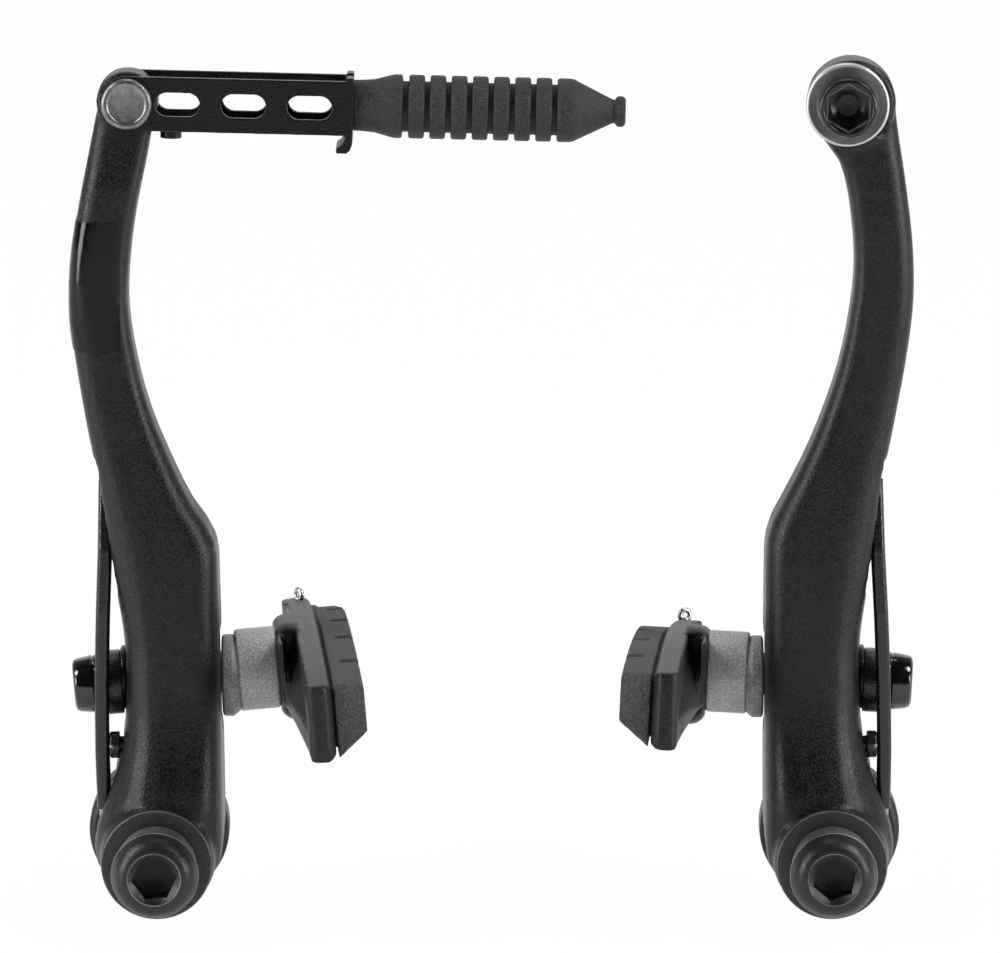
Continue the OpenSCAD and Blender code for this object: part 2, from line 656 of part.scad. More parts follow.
// Rubber: a foot in the holder's channel, and a wider block with a bevelled lower edge
module pad_insert() {
    h = shoe_height / 2;
    e = shoe_length / 2;
    foot = h - 1.1 - rubber_play;
    color("#2e2e30")
    difference() {
        union() {
            band([[-rubber_start - rubber_play, foot], [-channel_end - 0.8, foot],
                [-channel_end - 0.8, -foot], [-rubber_start - rubber_play, -foot]], shoe_length - 5.6);
            intersection() {
                band([[-channel_end - 0.3, h - 0.5], [-rubber_end + 0.5, h - 0.6],
                    [-rubber_end, h - 1.2], [-rubber_end, -h + 3.6], [-channel_end - 0.3, -h + 0.2]],
                    shoe_length + 2);
                // Side view: the front end leans back at the top, and the top falls to the rear
                translate([-FAR, 0, 0]) rotate([90, 0, 90]) linear_extrude(2 * FAR)
                    polygon([[1.3 - e, -FAR], [1.3 - e, h - 4], [2.4 - e, h - 0.6], [0, h - 0.6],
                        [e - 27, h - 0.9], [e - 13, h - 1.9], [e - 1.3, h - 3.6], [e - 1.3, -FAR]]);
                // Plan view: thinner at the rear end
                translate([0, 0, -FAR / 2]) linear_extrude(FAR) polygon([[0, -FAR],
                    [-rubber_end - 1, -FAR], [-rubber_end - 1, e - 16], [-rubber_end, e - 14],
                    [0.9 - rubber_end, e - 3], [0, e + 1]]);
            }
        }
        for (k = [-1 : 2]) translate([-rubber_end - 1, (k - 0.5) * groove_pitch - groove_w / 2, -FAR / 2])
            cube([1 + groove_t, groove_w, FAR]);
        translate([pin_x, pin_y, -FAR / 2]) cylinder(d = pin_d + 0.1, h = FAR);
    }
}

// Split pin that keeps the rubber in the holder, with its loop on top
module pad_pin(turn) {
    h = shoe_height / 2;
    drop = pin_y * pin_y / band_r / 2;
    color("#c8c8c8")
    translate([pin_x, pin_y, 0]) {
        translate([0, 0, pad_rise - h - drop - 0.6]) cylinder(d = pin_d, h = 2 * h + 1);
        translate([0, 0, pad_rise + h - drop + 0.7]) rotate([90, 0, turn]) rotate_extrude()
            translate([0.75, 0]) circle(d = 0.75, $fn = 24);
    }
}

module link_plate_outline() {
    h = link_height;
    difference() {
        union() {
            circle(d = h);
            translate([0, -h / 2]) square([link_length - link_sheet, h]);
        }
        for (k = [0 : 2]) translate([7.05 + slot_pitch * k, 0]) {
            for (s = [-1, 1]) translate([s * (slot_length - slot_height) / 2, 0]) circle(d = slot_height);
            square([slot_length - slot_height, slot_height], center = true);
        }
    }
}

// Folded steel channel, open on top, with a keyhole in its end plate
module cable_link() {
    h = link_height;
    color("#131314")
    difference() {
        union() {
            for (s = [-1, 1]) translate([0, s > 0 ? link_outer : -head_clear, 0]) rotate([90, 0, 0])
                linear_extrude(link_sheet) link_plate_outline();
            translate([11, -link_outer, -h / 2])
                cube([link_length - link_sheet - 1.8 - 11, 2 * link_outer, link_sheet]);
            translate([link_length - link_sheet, -link_outer, -h / 2])
                cube([link_sheet, 2 * link_outer, h + 0.5]);
            // Finger lip that curls back under the end plate
            translate([link_length, link_outer, -h / 2]) rotate([90, 0, 0])
                linear_extrude(2 * link_outer) polygon([[-link_sheet, 0.1], [0, 0.1], [0, -1.2],
                    [-0.3, -2], [-0.8, -2.5], [-2.2, -2.5], [-2.3, -1.9], [-1.7, -1.5], [-1.3, -1]]);
        }
        rod_y(shank_d + 0.12, -FAR, FAR);
        rod_x(neck_d + 0.1, link_length - link_sheet - 1, FAR);
        translate([link_length - link_sheet - 1, -1.2, 0]) cube([FAR, 2.4, FAR]);
    }
}

module link_rivet() {
    d = rivet_d;
    color("#a8a8a8")
    turn_y([[0, -link_outer - 1.1], [d / 2 - 0.9, -link_outer - 1.1], [d / 2 - 0.7, -link_outer - 1.3],
        [d / 2 - 0.2, -link_outer - 1.2], [d / 2, -link_outer - 0.9], [d / 2, -link_outer],
        [shank_d / 2, -link_outer], [shank_d / 2, link_outer], [d / 2 - 0.4, link_outer],
        [d / 2 - 0.4, link_outer + 0.7], [d / 2 - 0.9, link_outer + 1], [0, link_outer + 1]]);
}

module link_peg() {
    color("#131314")
    translate([6.1, 0, -link_height / 2 - 1.4])
        cylinder(d = 3, h = 1.4 + link_sheet);
}

// Rubber bellows, held by its neck in the link's end plate
module rubber_boot() {
    x0 = link_length;
    r0 = 3.55;
    r1 = 4.45;
    first = x0 + 7.7;
    nose = first + boot_rings * ring_pitch;
    rings = [for (k = [0 : boot_rings - 1]) let (x = first + k * ring_pitch)
        each [[r0, x], [r1 - 0.3, x], [r1, x + 0.35], [r1, x + 1.95], [r1 - 0.3, x + 2.3], [r0, x + 2.3]]];
    neck = neck_d / 2;
    outer = concat([[neck + 0.25, x0 - link_sheet - 1], [neck + 0.25, x0 - link_sheet - 0.02],
        [neck, x0 - link_sheet - 0.02], [neck, x0 + 0.05], [r0, x0 + 0.05], [r0 + 0.1, x0 + 3.7],
        [r1, x0 + 5.7], [r1, x0 + 6.5], [r1 - 0.3, x0 + 6.8], [r0, x0 + 6.8]], rings,
        [[r0, nose], [r1 - 0.3, nose], [r1, nose + 0.35], [r1, nose + 2.4], [1.65, nose + 7.9],
        [1.65, nose + 8.2], [2.1, nose + 8.3], [2.15, nose + 9.2], [1.8, nose + 9.6]]);
    inner = [[0.9, nose + 9.6], [0.9, nose + 5.5], [bellows_bore / 2, nose + 1.5],
        [bellows_bore / 2, x0 + guide_seat + 0.6], [guide_bore / 2, x0 + guide_seat],
        [guide_bore / 2, x0 - link_sheet - 1]];
    color("#232325")
    turn_x(concat(outer, inner));
}

module cable_washer() {
    y = -anchor_front;
    color("#b4b4b6")
    difference() {
        turn_y([[0, y - anchor_dish], [4.3, y - anchor_dish], [5.4, y - 1.6], [5.6, y - 1.6],
            [5.8, y - 1.4], [5.8, y], [0, y]]);
        rod_y(6.1, -FAR, FAR);
    }
}

module cable_bolt() {
    y = -anchor_front - anchor_dish;
    color("#0e0e0f")
    difference() {
        turn_y([[0, y - 3.6], [3.7, y - 3.6], [4.1, y - 3.2], [4.1, y], [2.55, y], [2.55, anchor_rear - 2],
            [0, anchor_rear - 2]]);
        hex_socket_y(hex_af, -FAR, y - 0.9, 30);
    }
}

LEFT = -1;
RIGHT = 1;
on_arm(LEFT) arm(LEFT);  // left_arm
on_arm(RIGHT) arm(RIGHT);  // right_arm
on_side(LEFT) pivot_bush();  // left_pivot_bush
on_side(RIGHT) pivot_bush();  // right_pivot_bush
on_side(LEFT) mount_bolt();  // left_mount_bolt
on_side(RIGHT) mount_bolt();  // right_mount_bolt
on_arm(LEFT) dust_ring();  // left_dust_ring
on_arm(RIGHT) dust_ring();  // right_dust_ring
on_arm(LEFT) return_spring();  // left_return_spring
on_arm(RIGHT) return_spring();  // right_return_spring
on_arm(LEFT) spring_sleeve();  // left_spring_sleeve
on_arm(RIGHT) spring_sleeve();  // right_spring_sleeve
on_side(LEFT) spring_housing();  // left_spring_housing
on_side(RIGHT) spring_housing();  // right_spring_housing
on_side(LEFT) stop_plate();  // left_stop_plate
on_side(RIGHT) stop_plate();  // right_stop_plate
on_arm(LEFT) tension_screw();  // left_tension_screw
on_arm(RIGHT) tension_screw();  // right_tension_screw
on_shoe(LEFT) pad_holder();  // left_pad_holder
on_shoe(RIGHT) pad_holder();  // right_pad_holder
on_shoe(LEFT) pad_insert();  // left_pad_insert
on_shoe(RIGHT) pad_insert();  // right_pad_insert
on_shoe(LEFT) pad_pin(left_pin_turn);  // left_pad_pin
on_shoe(RIGHT) pad_pin(right_pin_turn);  // right_pad_pin
on_shoe(LEFT) pad_stud();  // left_pad_stud
on_shoe(RIGHT) pad_stud();  // right_pad_stud
on_stud(LEFT) inner_dome_washer();  // left_inner_dome_washer
on_stud(RIGHT) inner_dome_washer();  // right_inner_dome_washer
on_shoe(LEFT) inner_cup_washer();  // left_inner_cup_washer
on_shoe(RIGHT) inner_cup_washer();  // right_inner_cup_washer
on_shoe(LEFT) outer_cup_washer();  // left_outer_cup_washer
on_shoe(RIGHT) outer_cup_washer();  // right_outer_cup_washer
on_stud(LEFT) outer_dome_washer();  // left_outer_dome_washer
on_stud(RIGHT) outer_dome_washer();  // right_outer_dome_washer
on_shoe(LEFT) shoe_nut();  // left_shoe_nut
on_shoe(RIGHT) shoe_nut();  // right_shoe_nut
on_link() cable_link();
on_link() link_rivet();
on_link() link_peg();
on_link() rubber_boot();
on_anchor(RIGHT) cable_washer();
on_anchor(RIGHT) cable_bolt();
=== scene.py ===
import bpy
from math import radians, cos, sin, pi, sqrt
from mathutils import Matrix, Vector


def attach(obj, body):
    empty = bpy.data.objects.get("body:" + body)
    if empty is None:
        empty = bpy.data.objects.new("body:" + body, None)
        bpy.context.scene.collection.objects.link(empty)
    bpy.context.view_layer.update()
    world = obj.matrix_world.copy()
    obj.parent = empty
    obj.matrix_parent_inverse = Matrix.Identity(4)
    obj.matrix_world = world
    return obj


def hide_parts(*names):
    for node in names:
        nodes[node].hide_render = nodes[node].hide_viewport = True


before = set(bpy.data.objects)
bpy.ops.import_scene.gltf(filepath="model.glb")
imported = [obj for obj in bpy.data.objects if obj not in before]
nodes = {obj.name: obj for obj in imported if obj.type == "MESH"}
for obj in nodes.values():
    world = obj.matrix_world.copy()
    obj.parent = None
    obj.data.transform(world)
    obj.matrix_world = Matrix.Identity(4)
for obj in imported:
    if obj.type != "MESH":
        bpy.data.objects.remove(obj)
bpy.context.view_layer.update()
mm = 0.001
print("frame loaded,", len(nodes), "nodes")


# camera and light

view = {"distance": 1.2, "elevation": 10.25, "target": (0.8, 0.0, 53.1), "focalPixels": 8530.0,
        "imageWidth": 1000.0, "sensor": 36.0, "near": 0.02, "far": 20.0}


def makeCamera(v):
    tilt = radians(v["elevation"])
    target = Vector(v["target"]) * mm
    away = Vector((0, -cos(tilt), sin(tilt))) * v["distance"]
    bpy.ops.object.camera_add(location=target + away, rotation=(pi / 2 - tilt, 0, 0))
    cam = bpy.context.object
    cam.name = "studioCamera"
    cam.data.sensor_width = v["sensor"]
    cam.data.lens = v["focalPixels"] / v["imageWidth"] * v["sensor"]
    cam.data.clip_start = v["near"]
    cam.data.clip_end = v["far"]
    cam.data.dof.use_dof = False
    bpy.context.scene.camera = cam


makeCamera(view)


# places: the same named values as the part's source, in millimetres

layout = {
    "pivotSpacing": 94.8, "armLength": 106.6, "anchorOut": 1.7, "leftLean": 1.1,
    "studUp": 23.6, "studBack": 4.0, "swivelIn": -2.6, "toeIn": 3.8,
    "tilt": {"left": 3.6, "right": 2.5}, "pitch": {"left": 0.5, "right": 5.0}, "linkTilt": 1.4,
}


def turnedBy(angle, axis):
    return Matrix.Rotation(radians(angle), 4, axis)


def shifted(x, y, z):
    return Matrix.Translation(Vector((x, y, z)) * mm)


def onSide(side):
    s = -1 if side == "left" else 1
    return shifted(s * layout["pivotSpacing"] / 2, 0, 0) @ Matrix.Diagonal((s, 1, 1, 1))


def onArm(side):
    return onSide(side) @ turnedBy(layout["leftLean"] if side == "left" else 0, "Y")


def onStud(side):
    return onArm(side) @ shifted(layout["swivelIn"], layout["studBack"], layout["studUp"])


def onShoe(side):
    return (onStud(side) @ turnedBy(layout["tilt"][side], "Y") @ turnedBy(-layout["toeIn"], "Z")
            @ turnedBy(-layout["pitch"][side], "X"))


def onAnchor(side):
    return onArm(side) @ shifted(layout["anchorOut"], 0, layout["armLength"])


def onLink():
    a = radians(layout["leftLean"])
    out = layout["anchorOut"] * cos(a) + layout["armLength"] * sin(a)
    up = layout["armLength"] * cos(a) - layout["anchorOut"] * sin(a)
    return shifted(-layout["pivotSpacing"] / 2 - out, 0, up) @ turnedBy(layout["linkTilt"], "Y")


alongY = turnedBy(-90, "X")   # a piece turned about Z comes to lie along Y
alongX = turnedBy(90, "Y")    # and here along X


# shader expressions

class Shade:
    # wraps a socket, so that maths on values reads as a plain expression
    def __init__(self, tree, out):
        self.tree, self.out = tree, out

    def math(self, operation, a, b=None, clamp=False):
        n = self.tree.nodes.new("ShaderNodeMath")
        n.operation = operation
        n.use_clamp = clamp
        for i, v in enumerate([a] if b is None else [a, b]):
            if isinstance(v, Shade):
                self.tree.links.new(v.out, n.inputs[i])
            else:
                n.inputs[i].default_value = v
        return Shade(self.tree, n.outputs[0])

    def __add__(self, b): return self.math("ADD", self, b)
    def __radd__(self, b): return self.math("ADD", b, self)
    def __sub__(self, b): return self.math("SUBTRACT", self, b)
    def __rsub__(self, b): return self.math("SUBTRACT", b, self)
    def __mul__(self, b): return self.math("MULTIPLY", self, b)
    def __truediv__(self, b): return self.math("DIVIDE", self, b)
    def __pow__(self, b): return self.math("POWER", self, b)
    def above(self, b): return self.math("GREATER_THAN", self, b)
    def clamped(self): return self.math("ADD", self, 0.0, clamp=True)
    def size(self): return self.math("ABSOLUTE", self)
    def most(self, b): return self.math("MAXIMUM", self, b)


class Paint:
    # one material: its tree, its shader and its object coordinates
    def __init__(self, name):
        self.mat = bpy.data.materials.new(name)
        self.mat.use_nodes = True
        self.tree = self.mat.node_tree
        self.bsdf = self.tree.nodes["Principled BSDF"]
        self.place = self.add("ShaderNodeTexCoord", {}, "Object")

    def add(self, kind, inputs, out=0):
        n = self.tree.nodes.new(kind)
        for key, v in inputs.items():
            if isinstance(v, Shade):
                self.tree.links.new(v.out, n.inputs[key])
            else:
                n.inputs[key].default_value = v
        return Shade(self.tree, n.outputs[out])

    def noise(self, scale, detail=3.0, stretch=None, rough=0.5):
        at = self.place
        if stretch:
            at = self.add("ShaderNodeMapping", {"Vector": at, "Scale": stretch})
        return self.add("ShaderNodeTexNoise",
                        {"Vector": at, "Scale": scale, "Detail": detail, "Roughness": rough})

    def grain(self, scale, contrast, middle):
        # fine noise with its contrast raised about a middle value
        return ((self.noise(scale, rough=0.65) - 0.5) * contrast + middle).clamped()

    def axis(self, name):
        return self.add("ShaderNodeSeparateXYZ", {"Vector": self.place}, name)

    def fromAxis(self, x0, z0):
        # distance from an axis along Y, the same on both sides of the object
        x, z = self.axis("X").size() - x0, self.axis("Z") - z0
        return (x * x + z * z) ** 0.5

    def line(self, distance, at, width):
        # 1 where the distance is the one asked for, down to 0 beside it; both values in millimetres
        return 1 - ((distance - at * mm).size() / (width * mm)).clamped()

    def blend(self, mask, a, b):
        n = self.tree.nodes.new("ShaderNodeMix")
        n.data_type = "RGBA"
        self.tree.links.new(mask.out, n.inputs["Factor"])
        for key, v in ((6, a), (7, b)):
            if isinstance(v, Shade):
                self.tree.links.new(v.out, n.inputs[key])
            else:
                n.inputs[key].default_value = (*v, 1.0)
        return Shade(self.tree, n.outputs[2])

    def feed(self, socket, v):
        if isinstance(v, Shade):
            self.tree.links.new(v.out, self.bsdf.inputs[socket])
        else:
            self.bsdf.inputs[socket].default_value = v

    def relief(self, height, depth, strength=1.0):
        n = self.add("ShaderNodeBump", {"Height": height, "Strength": strength, "Distance": depth},
                     "Normal")
        self.feed("Normal", n)


cloudScale = 180.0   # slow clouds in tone and gloss, per metre


def grainyPaint(name, dark, light, rough, grain, depth, coat, metal, shine):
    # painted or moulded surface: fine grain with some contrast over slow clouds
    p = Paint(name)
    fine = p.grain(grain, 4.0, 0.32)
    slow = p.noise(cloudScale)
    p.feed("Base Color", p.blend((fine * 0.7 + slow * 0.3).clamped(), dark, light))
    p.feed("Roughness", (rough - 0.09) + fine * 0.12 + slow * 0.06)
    p.feed("Metallic", metal)
    p.feed("Coat Weight", coat)
    p.feed("Specular IOR Level", shine)
    p.relief(fine, depth)
    return p.mat


finishes = {
    # name: darkest and lightest colour, roughness, grain per metre, relief in metres, coat, metal, shine
    "armPaint": ((0.0008, 0.0008, 0.0009), (0.021, 0.021, 0.022), 0.36, 3600.0, 0.000018, 0.0, 0.0, 0.36),
    "holderPaint": ((0.003, 0.003, 0.0035), (0.024, 0.024, 0.025), 0.40, 3200.0, 0.000018, 0.0, 0.0, 0.34),
    "padRubber": ((0.026, 0.026, 0.027), (0.100, 0.100, 0.101), 0.68, 2600.0, 0.000080, 0.0, 0.0, 0.40),
    "bootRubber": ((0.008, 0.008, 0.0085), (0.048, 0.048, 0.049), 0.60, 3000.0, 0.000050, 0.0, 0.0, 0.45),
    "housingPlastic": ((0.005, 0.005, 0.005), (0.016, 0.016, 0.017), 0.42, 3000.0, 0.000014, 0.0, 0.0, 0.5),
    "sleevePlastic": ((0.003, 0.003, 0.003), (0.009, 0.009, 0.010), 0.24, 2200.0, 0.000008, 0.2, 0.0, 0.5),
    "blackBolt": ((0.003, 0.003, 0.003), (0.017, 0.017, 0.018), 0.28, 3800.0, 0.000016, 0.1, 0.0, 0.5),
    "blackNut": ((0.002, 0.002, 0.002), (0.006, 0.006, 0.006), 0.13, 1800.0, 0.000006, 0.5, 0.0, 0.5),
    "linkBlack": ((0.0005, 0.0005, 0.0005), (0.007, 0.007, 0.007), 0.34, 2800.0, 0.000024, 0.0, 0.0, 0.35),
    "domeGrey": ((0.130, 0.130, 0.132), (0.440, 0.440, 0.444), 0.46, 3600.0, 0.000028, 0.0, 0.30, 0.5),
    "cupGrey": ((0.280, 0.280, 0.282), (0.780, 0.780, 0.785), 0.48, 3600.0, 0.000036, 0.0, 0.35, 0.5),
}


def brushedSteel(name, dark, light, rough, stretch, scale):
    # bare metal: fine lines, stretched along the wire for the springs, with slow clouds
    p = Paint(name)
    lines = p.noise(scale, stretch=stretch)
    slow = p.noise(420.0)
    p.feed("Base Color", p.blend((lines * 0.6 + slow * 0.4).clamped(), dark, light))
    p.feed("Metallic", 1.0)
    p.feed("Roughness", (rough - 0.1) + lines * 0.14 + slow * 0.08)
    p.relief(lines, 0.000006)
    return p.mat


steels = {
    # name: darkest and lightest colour, roughness, stretch of the lines, lines per metre
    "springSteel": ((0.34, 0.34, 0.35), (0.52, 0.52, 0.53), 0.30, (1, 1, 0.2), 2600.0),
    "plateSteel": ((0.38, 0.38, 0.39), (0.55, 0.55, 0.56), 0.38, (1, 1, 1), 1800.0),
    "bushSteel": ((0.55, 0.55, 0.55), (0.78, 0.78, 0.78), 0.36, (1, 1, 1), 2400.0),
    "pinSteel": ((0.55, 0.55, 0.55), (0.72, 0.72, 0.72), 0.32, (1, 1, 1), 2400.0),
    "washerSteel": ((0.56, 0.56, 0.57), (0.84, 0.84, 0.85), 0.42, (1, 1, 1), 2600.0),
    "rivetSteel": ((0.02, 0.02, 0.02), (0.50, 0.50, 0.50), 0.38, (1, 1, 1), 1500.0),
}

paints = {name: grainyPaint(name, *v) for name, v in finishes.items()}
paints.update({name: brushedSteel(name, *v) for name, v in steels.items()})


def filmPaint(dark, light):
    # smooth black film with slight waves
    p = Paint("glossyFilm")
    slow = p.noise(90.0, 2.0)
    p.feed("Base Color", p.blend(slow, dark, light))
    p.feed("Roughness", 0.07 + slow * 0.08)
    p.feed("Coat Weight", 0.15)
    p.feed("Specular IOR Level", 0.30)
    p.relief(slow, 0.00005, 0.5)
    return p.mat


paintedHighlightsAndShade = {
    # painted highlights on edges: distance from the axis and half the line's width, in millimetres
    "socketRim": (3.70, 0.10), "headRim": (6.08, 0.09), "ringRim": (7.70, 0.10), "hexEdge": (2.92, 0.12),
    # painted shade inside the fixing bolt's socket: its radius and its front
    "socketRadius": 3.25, "socketFront": -21.7,
}


def pivotBoltPaint(dark, light, highlightColour):
    # black screw head with painted highlights on its edges and painted shade in its socket
    p = Paint("pivotBolt")
    r = p.fromAxis(layout["pivotSpacing"] / 2 * mm, 0.0)
    fine = p.grain(2600.0, 3.0, 0.5)
    slow = p.noise(240.0)
    near, behind = paintedHighlightsAndShade["socketRadius"] * mm - r, p.axis("Y") - paintedHighlightsAndShade["socketFront"] * mm
    # painted shade: the inside of the socket is given the darkest colour
    inside = near.above(0.0) * behind.above(0.0)
    # painted highlights: light lines on the socket rim and the head rim, broken up by noise
    paintedHighlight = (p.line(r, *paintedHighlightsAndShade["socketRim"]) + p.line(r, *paintedHighlightsAndShade["headRim"])) * (slow * 2.4 - 0.5).clamped()
    skin = p.blend((fine * 0.5 + slow * 0.5).clamped(), dark, light)
    p.feed("Base Color", p.blend(paintedHighlight.clamped(), p.blend(inside, skin, dark), highlightColour))
    p.feed("Roughness", 0.30 + fine * 0.10 + inside * 0.2)
    p.relief(fine, 0.00002)
    return p.mat


def flatRingPaint(dark, light, highlightColour):
    # dark ring with a painted highlight on its outer edge
    p = Paint("flatRing")
    r = p.fromAxis(layout["pivotSpacing"] / 2 * mm, 0.0)
    fine = p.grain(2600.0, 3.0, 0.5)
    # painted highlight: a light line on the ring's outer edge, broken up by noise
    paintedHighlight = p.line(r, *paintedHighlightsAndShade["ringRim"]) * (p.noise(300.0) * 1.6 - 0.2)
    p.feed("Base Color", p.blend(paintedHighlight.clamped(), p.blend(fine, dark, light), highlightColour))
    p.feed("Roughness", 0.40 + fine * 0.08)
    p.relief(fine, 0.000016)
    return p.mat


def cableBoltPaint(dark, light, lit):
    # black socket screw whose hexagon is outlined by the light on its edge
    p = Paint("cableScrew")
    at = onAnchor("right").translation
    x, z = p.axis("X") - at.x, p.axis("Z") - at.z
    up, down = x * 0.5 + z * sin(pi / 3), x * 0.5 - z * sin(pi / 3)
    across = x.size().most(up.size()).most(down.size())
    slow = p.noise(500.0)
    edge = p.line(across, *paintedHighlightsAndShade["hexEdge"]) * (slow * 1.2)
    p.feed("Base Color", p.blend(edge.clamped(), p.blend(slow, dark, light), lit))
    p.feed("Roughness", 0.20 + slow * 0.12)
    return p.mat


paints["glossyFilm"] = filmPaint((0.0008, 0.0008, 0.0009), (0.002, 0.002, 0.0022))
paints["cableScrew"] = cableBoltPaint((0.002, 0.002, 0.002), (0.009, 0.009, 0.009), (0.16, 0.16, 0.16))
# the last colour here is the painted highlight on the head's edges
paints["pivotBolt"] = pivotBoltPaint((0.003, 0.003, 0.003), (0.018, 0.018, 0.019), (0.24, 0.24, 0.24))
# the last colour here is the painted highlight on the ring's outer edge
paints["flatRing"] = flatRingPaint((0.012, 0.012, 0.012), (0.030, 0.030, 0.031), (0.20, 0.20, 0.20))
print("materials made:", len(paints))


# modelling helpers

mergeDistance = 0.000002   # corners closer than this, in metres, become one
smoothAngle = 32           # sharper edges than this, in degrees, stay hard
smoothFactor = 0.5         # how far each round of smoothing moves a point


def only(obj):
    if bpy.context.mode != "OBJECT":
        bpy.ops.object.mode_set(mode="OBJECT")
    bpy.ops.object.select_all(action="DESELECT")
    obj.select_set(True)
    bpy.context.view_layer.objects.active = obj


def editAll(obj):
    only(obj)
    bpy.ops.object.mode_set(mode="EDIT")
    bpy.ops.mesh.select_all(action="SELECT")


def applied(obj, kind, **settings):
    only(obj)
    m = obj.modifiers.new(kind.lower(), kind)
    for key, v in settings.items():
        setattr(m, key, v)
    bpy.ops.object.modifier_apply(modifier=m.name)


def placed(obj, place):
    only(obj)
    obj.matrix_world = place
    bpy.ops.object.transform_apply(location=True, rotation=True, scale=True)
    editAll(obj)
    bpy.ops.mesh.normals_make_consistent(inside=False)
    bpy.ops.object.mode_set(mode="OBJECT")


def dressed(obj, name, paint, body, stands):
    # material, and the frame's calls; a piece with no solid of its own stands for none
    obj.name = name
    obj.data.name = name
    obj.data.materials.clear()
    obj.data.materials.append(paints[paint])
    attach(obj, body)
    if stands:
        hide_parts(*stands)
    return obj


def along(points, start):
    # a profile's points with their heights counted from a start
    return [(r, start + z) for r, z in points]


def turned(profile, closed=False, sides=96):
    # profile in mm: radius and height. Each step extrudes the last ring along Z and scales it.
    r0, z0 = profile[0]
    bpy.ops.object.select_all(action="DESELECT")
    bpy.ops.mesh.primitive_circle_add(vertices=sides, radius=r0 * mm, location=(0, 0, 0),
                                      fill_type="NOTHING" if closed else "NGON")
    obj = bpy.context.object
    bpy.ops.object.mode_set(mode="EDIT")
    bpy.ops.mesh.select_all(action="SELECT")
    bpy.ops.transform.translate(value=(0, 0, z0 * mm))
    bpy.ops.mesh.select_mode(type="EDGE")
    bpy.ops.mesh.select_all(action="SELECT")
    if not closed:
        bpy.ops.mesh.region_to_loop()
    steps = list(profile[1:]) + ([profile[0]] if closed else [])
    for r, z in steps:
        bpy.ops.mesh.extrude_edges_move(TRANSFORM_OT_translate={"value": (0, 0, (z - z0) * mm)})
        if abs(r - r0) > 1e-6:
            bpy.ops.transform.resize(value=(r / r0, r / r0, 1), center_override=(0, 0, z * mm))
        r0, z0 = r, z
    if not closed:
        bpy.ops.mesh.edge_face_add()
    bpy.ops.mesh.select_all(action="SELECT")
    bpy.ops.mesh.remove_doubles(threshold=mergeDistance)
    bpy.ops.mesh.normals_make_consistent(inside=False)
    bpy.ops.object.mode_set(mode="OBJECT")
    return obj


def cutWith(obj, cutter):
    applied(obj, "BOOLEAN", operation="DIFFERENCE", solver="EXACT", object=cutter)
    bpy.data.objects.remove(cutter)


def hexCutter(acrossFlats, low, high, turn=0):
    bpy.ops.object.select_all(action="DESELECT")
    bpy.ops.mesh.primitive_cylinder_add(vertices=6, radius=acrossFlats / 2 / cos(pi / 6) * mm,
                                        depth=(high - low) * mm, location=(0, 0, (low + high) / 2 * mm),
                                        rotation=(0, 0, radians(turn)))
    cutter = bpy.context.object
    only(cutter)
    bpy.ops.object.transform_apply(location=True, rotation=True, scale=True)
    return cutter


def softened(obj, width, angle=28):
    applied(obj, "BEVEL", width=width * mm, segments=2, limit_method="ANGLE", angle_limit=radians(angle),
            use_clamp_overlap=True, harden_normals=False)
    only(obj)
    bpy.ops.object.shade_smooth_by_angle(angle=radians(smoothAngle))


def copyOf(source, name):
    obj = bpy.data.objects.new(name, source.data.copy())
    bpy.context.scene.collection.objects.link(obj)
    return obj


def mergedCopy(node):
    # the solid's loose triangles, copied and merged
    obj = copyOf(nodes[node], node + "Copy")
    only(obj)
    bpy.ops.mesh.customdata_custom_splitnormals_clear()
    editAll(obj)
    bpy.ops.mesh.remove_doubles(threshold=mergeDistance)
    bpy.ops.object.mode_set(mode="OBJECT")
    return obj


def cast(node, look):
    # even skin over a copied solid, with the edges rounded as forging, moulding and paint round them
    obj = mergedCopy(node)
    applied(obj, "REMESH", mode="VOXEL", voxel_size=look["voxel"] * mm, adaptivity=0.0)
    applied(obj, "SMOOTH", factor=smoothFactor, iterations=look["rounds"])
    only(obj)
    bpy.ops.object.shade_smooth()
    return obj


# arms

armLook = {"voxel": 0.42, "rounds": 5, "boreRadius": 5.32}


def clearBore(obj, side):
    # opens the arm's bore a little, so that the smoothed wall stays off the bush
    x0 = onSide(side).translation.x
    for v in obj.data.vertices:
        dx, dz = v.co.x - x0, v.co.z
        r = sqrt(dx * dx + dz * dz)
        if 0 < r < armLook["boreRadius"] * mm:
            k = armLook["boreRadius"] * mm / r
            v.co.x, v.co.z = x0 + dx * k, dz * k


for side in ("left", "right"):
    arm = cast(side + "_arm", armLook)
    clearBore(arm, side)
    dressed(arm, side + "ForgedArm", "armPaint", side + "_arm", [side + "_arm"])
print("arms done")


# pivots: bolt, bush, ring, spring, housing

boltLook = {"seat": -18.8, "headRadius": 6.15, "headHeight": 3.5, "shank": 2.9, "length": 21.0,
            "hex": 5.4, "sinkRadius": 3.65, "turn": {"left": 36, "right": 10}, "bevel": 0.07,
            # the domed head: radius and depth behind the front
            "dome": [(3.9, -0.01), (4.35, 0.12), (4.8, 0.40), (5.2, 0.82), (5.5, 1.30), (5.75, 1.90),
                     (5.9, 2.40), (6.0, 2.68), (6.12, 2.80), (6.15, 2.95)]}
bushLook = {"bore": 4.1, "radius": 5.15, "front": -18.8, "rear": 18.0,
            "collar": 5.7, "collarFront": -17.9, "collarRear": -13.3, "bevel": 0.06}
ringLook = {"bore": 5.2, "radius": 7.8, "front": -12.9, "rear": -11.7, "chamfer": 0.15, "bevel": 0.06}
coilLook = {"levels": 2}
sleeveLook = {"voxel": 0.2, "rounds": 2}
housingLook = {"voxel": 0.35, "rounds": 2}
plateLook = {"voxel": 0.2, "rounds": 2}
screwLook = {"voxel": 0.1, "rounds": 2}


